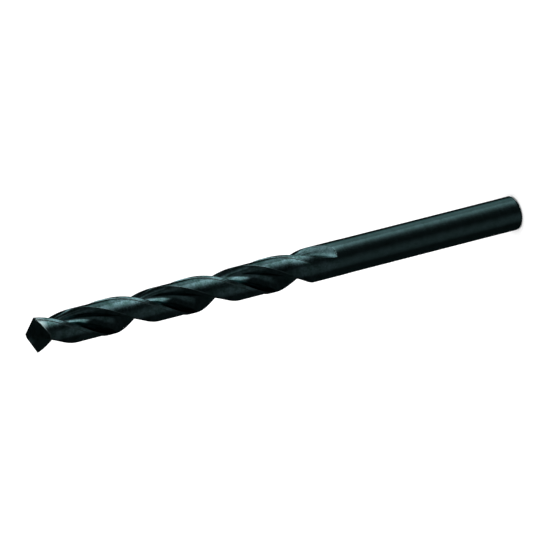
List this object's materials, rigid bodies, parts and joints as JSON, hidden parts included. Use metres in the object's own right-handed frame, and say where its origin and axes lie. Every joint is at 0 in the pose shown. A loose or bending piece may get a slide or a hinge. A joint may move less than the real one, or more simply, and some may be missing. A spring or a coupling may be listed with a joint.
{
  "type": "twist drill bit",
  "caption": "Straight-shank twist drill with right-hand helical flutes, ground margins and a conical point.",
  "frame": {"origin": "centre of the flat end of the shank", "axes": "+Z along the drill's axis from the shank to the point; the lips at the point lie along X"},
  "size_m": [0.007, 0.007, 0.109],
  "materials": {
    "black_oxide_steel": "black oxide on ground high-speed steel, satin"
  },
  "bodies": {
    "root": {"drill_bit": "black_oxide_steel"}
  },
  "joints": []
}
